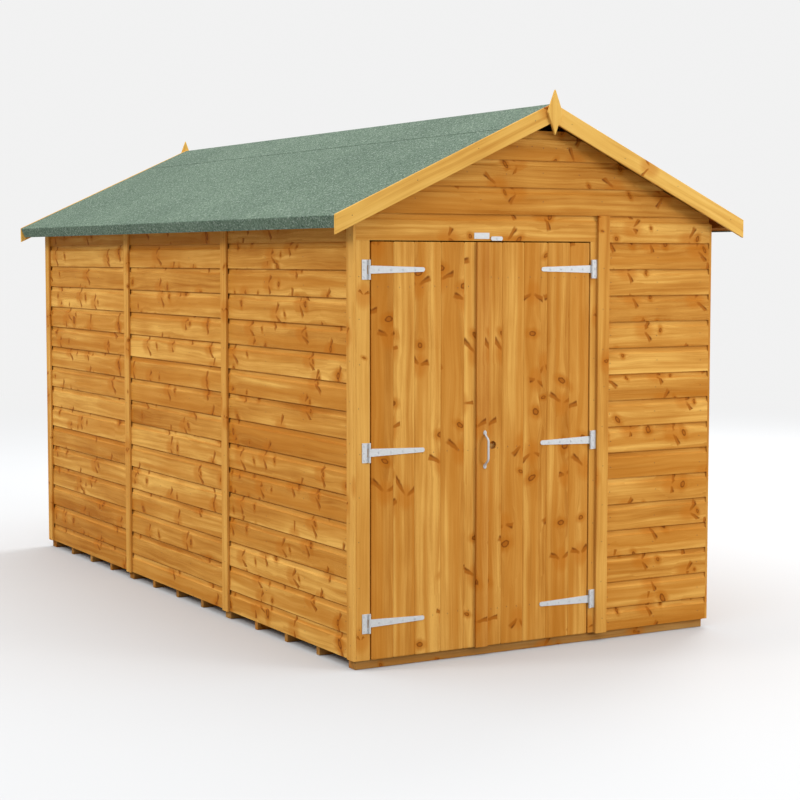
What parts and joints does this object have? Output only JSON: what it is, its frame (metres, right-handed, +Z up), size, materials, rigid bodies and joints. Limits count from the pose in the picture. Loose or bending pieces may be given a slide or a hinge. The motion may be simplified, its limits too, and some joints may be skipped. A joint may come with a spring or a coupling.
{
  "type": "garden shed",
  "caption": "Apex garden shed in timber, with shiplap walls, hinged ledged doors, a felted roof, and a boarded floor on joists.",
  "frame": {"origin": "middle of the footprint's bounding box, on the ground under the floor joists", "axes": "+X to the right along the front, +Y from the front with the doors to the back, +Z up"},
  "size_m": [2.0106, 3.79, 2.3053],
  "materials": {
    "cladding": "satin",
    "planed_wood": "satin",
    "sawn_wood": "rough",
    "roof_felt": "rough",
    "zinc": "satin"
  },
  "bodies": {
    "shed": {"floor_joists": "sawn_wood", "floor_boards": "sawn_wood", "left_front_panel": "cladding", "left_middle_panel": "cladding", "left_back_panel": "cladding", "right_front_panel": "cladding", "right_middle_panel": "cladding", "right_back_panel": "cladding", "side_wall_frames": "sawn_wood", "back_wide_panel": "cladding", "back_narrow_panel": "cladding", "back_gable": "cladding", "back_wall_frame": "sawn_wood", "front_side_panel": "cladding", "door_head_board": "cladding", "left_door_post": "planed_wood", "right_door_post": "planed_wood", "front_gable": "cladding", "front_wall_frame": "sawn_wood", "side_trims": "planed_wood", "divider_trims": "planed_wood", "left_roof_boards": "sawn_wood", "right_roof_boards": "sawn_wood", "roof_purlins": "sawn_wood", "roof_rafters": "sawn_wood", "left_roof_felt": "roof_felt", "right_roof_felt": "roof_felt", "ridge_felt": "roof_felt", "front_left_bargeboard": "planed_wood", "front_right_bargeboard": "planed_wood", "back_left_bargeboard": "planed_wood", "back_right_bargeboard": "planed_wood", "front_finial": "planed_wood", "back_finial": "planed_wood", "hinge_plates": "zinc", "name_plate": "zinc"},
    "left_door": {"left_door_boards": "cladding", "left_door_ledges": "sawn_wood", "left_hinge_straps": "zinc"},
    "right_door": {"right_door_boards": "cladding", "right_door_ledges": "sawn_wood", "right_hinge_straps": "zinc", "door_cover_strip": "planed_wood", "door_handle": "zinc"},
    "turn_button": {"turn_button": "zinc"}
  },
  "joints": [
    {"name": "left_door_hinge", "type": "hinge", "parent": "shed", "child": "left_door", "pos_m": [-0.818, -1.816, 0.862], "axis": [0, 0, -1], "range_deg": [0, 160]},
    {"name": "right_door_hinge", "type": "hinge", "parent": "shed", "child": "right_door", "pos_m": [0.246, -1.816, 0.862], "axis": [0, 0, 1], "range_deg": [0, 160]},
    {"name": "turn_button_pivot", "type": "hinge", "parent": "shed", "child": "turn_button", "pos_m": [-0.228, -1.813, 1.703], "axis": [0, -1, 0], "range_deg": [0, 90]}
  ]
}
